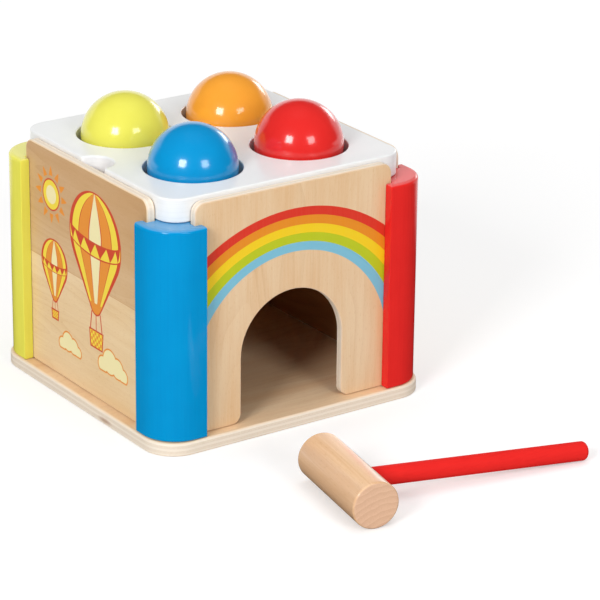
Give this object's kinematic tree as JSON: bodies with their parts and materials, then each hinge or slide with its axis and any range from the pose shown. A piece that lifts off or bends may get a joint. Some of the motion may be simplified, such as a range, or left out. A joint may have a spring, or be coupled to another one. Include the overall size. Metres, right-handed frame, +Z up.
{
  "type": "ball pounding box",
  "caption": "Square wooden pounding box with painted corner posts, an arched ball exit, a lift-off white lid that holds coloured balls in rubber rings, and a wooden mallet.",
  "frame": {"origin": "centre of the base plate's underside, on the surface that the box stands on", "axes": "+Z up; -Y is the front with the arched doorway; -X is the side with the printed panel and the lid's finger notch"},
  "size_m": [0.1734, 0.2783, 0.1505],
  "materials": {
    "plywood": "clear matt lacquer on birch-faced plywood",
    "beech": "clear satin lacquer on solid beech",
    "blue_lacquer": "glossy blue lacquer on wood",
    "red_lacquer": "glossy red lacquer on wood",
    "yellow_lacquer": "glossy yellow lacquer on wood",
    "orange_lacquer": "glossy orange lacquer on wood",
    "white_lacquer": "satin white lacquer on wood",
    "rubber": "matt dark rubber",
    "screw_steel": "zinc plated"
  },
  "bodies": {
    "box": {"base_plate": "plywood", "post_front_left": "blue_lacquer", "post_front_right": "red_lacquer", "post_rear_left": "yellow_lacquer", "post_rear_right": "orange_lacquer", "panel_front": "plywood", "panel_left": "plywood", "panel_rear": "plywood", "panel_right": "plywood", "base_screw_front_left": "screw_steel", "base_screw_front_right": "screw_steel", "base_screw_rear_left": "screw_steel", "base_screw_rear_right": "screw_steel"},
    "lid": {"lid_board": "white_lacquer", "ring_retainer_board": "plywood", "grip_ring_front_left": "rubber", "grip_ring_front_right": "rubber", "grip_ring_rear_left": "rubber", "grip_ring_rear_right": "rubber", "retainer_screw_centre": "screw_steel", "retainer_screw_front": "screw_steel", "retainer_screw_rear": "screw_steel", "retainer_screw_left": "screw_steel", "retainer_screw_right": "screw_steel"},
    "blue_ball": {"ball_blue": "blue_lacquer"},
    "red_ball": {"ball_red": "red_lacquer"},
    "yellow_ball": {"ball_yellow": "yellow_lacquer"},
    "orange_ball": {"ball_orange": "orange_lacquer"},
    "hammer": {"hammer_head": "beech", "hammer_handle": "red_lacquer"}
  },
  "joints": [
    {"name": "lid_lift", "type": "slide", "parent": "box", "child": "lid", "axis": [0, 0, 1], "range_m": [0, 0.12]},
    {"name": "blue_ball_travel", "type": "slide", "parent": "lid", "child": "blue_ball", "axis": [0, 0, 1], "range_m": [-0.0976, 0.05], "deforming": ["grip_ring_front_left"]},
    {"name": "red_ball_travel", "type": "slide", "parent": "lid", "child": "red_ball", "axis": [0, 0, 1], "range_m": [-0.0986, 0.05], "deforming": ["grip_ring_front_right"]},
    {"name": "yellow_ball_travel", "type": "slide", "parent": "lid", "child": "yellow_ball", "axis": [0, 0, 1], "range_m": [-0.0968, 0.05], "deforming": ["grip_ring_rear_left"]},
    {"name": "orange_ball_travel", "type": "slide", "parent": "lid", "child": "orange_ball", "axis": [0, 0, 1], "range_m": [-0.0964, 0.05], "deforming": ["grip_ring_rear_right"]},
    {"name": "hammer_lift", "type": "slide", "parent": "box", "child": "hammer", "axis": [0, 0, 1], "range_m": [0, 0.15]}
  ]
}
